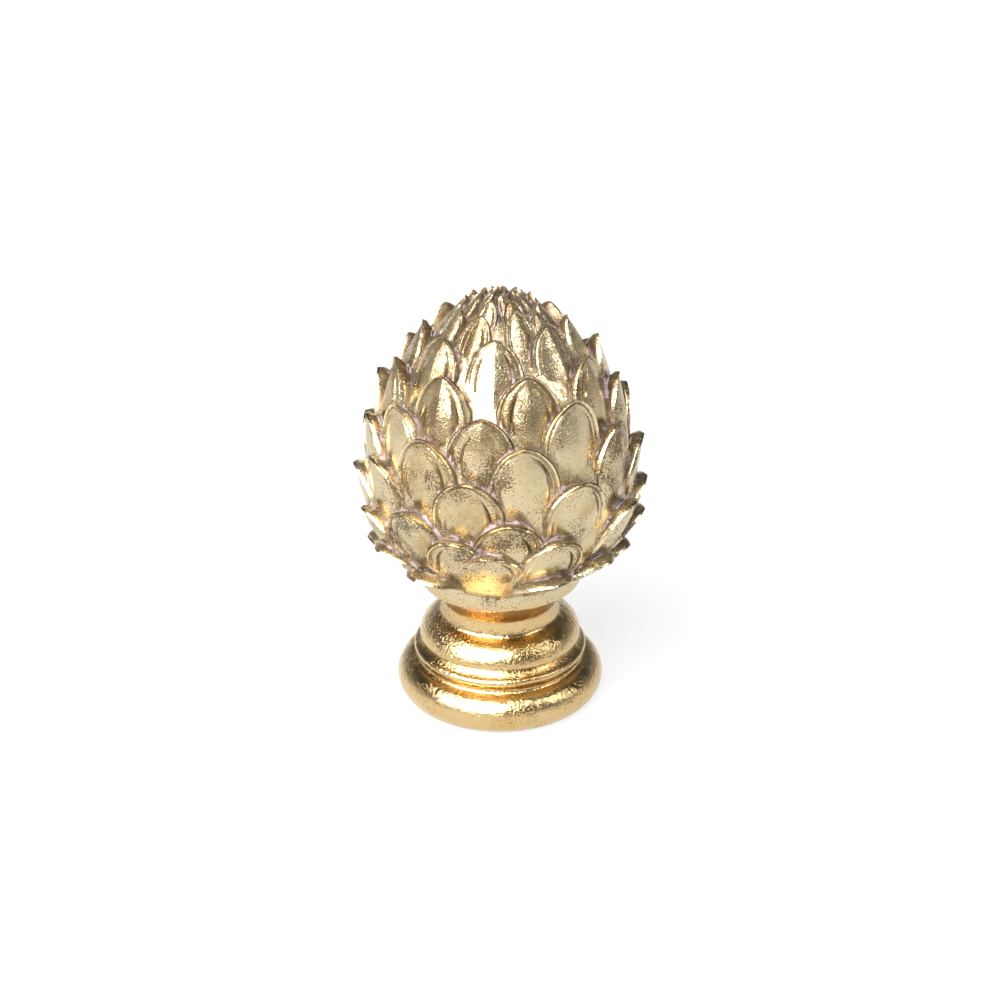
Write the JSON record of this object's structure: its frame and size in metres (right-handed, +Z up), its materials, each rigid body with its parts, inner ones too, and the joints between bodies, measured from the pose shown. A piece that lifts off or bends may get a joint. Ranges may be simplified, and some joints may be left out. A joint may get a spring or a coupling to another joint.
{
  "type": "pinecone finial",
  "caption": "Gilded pinecone finial: a cone of overlapping pointed leaves over a neck, bell moulding, thin ring and heavy round foot, all cast as one piece.",
  "frame": {"origin": "centre of the foot's flat underside", "axes": "+Z up along the axis of the cone and foot, with the front of the cone toward -Y"},
  "size_m": [0.156, 0.1564, 0.2355],
  "materials": {
    "gilding": "pale gold leaf over a casting, glossy, lightly pitted, with grey-lilac wax left in the hollows"
  },
  "bodies": {
    "root": {"pinecone_finial": "gilding"}
  },
  "joints": []
}
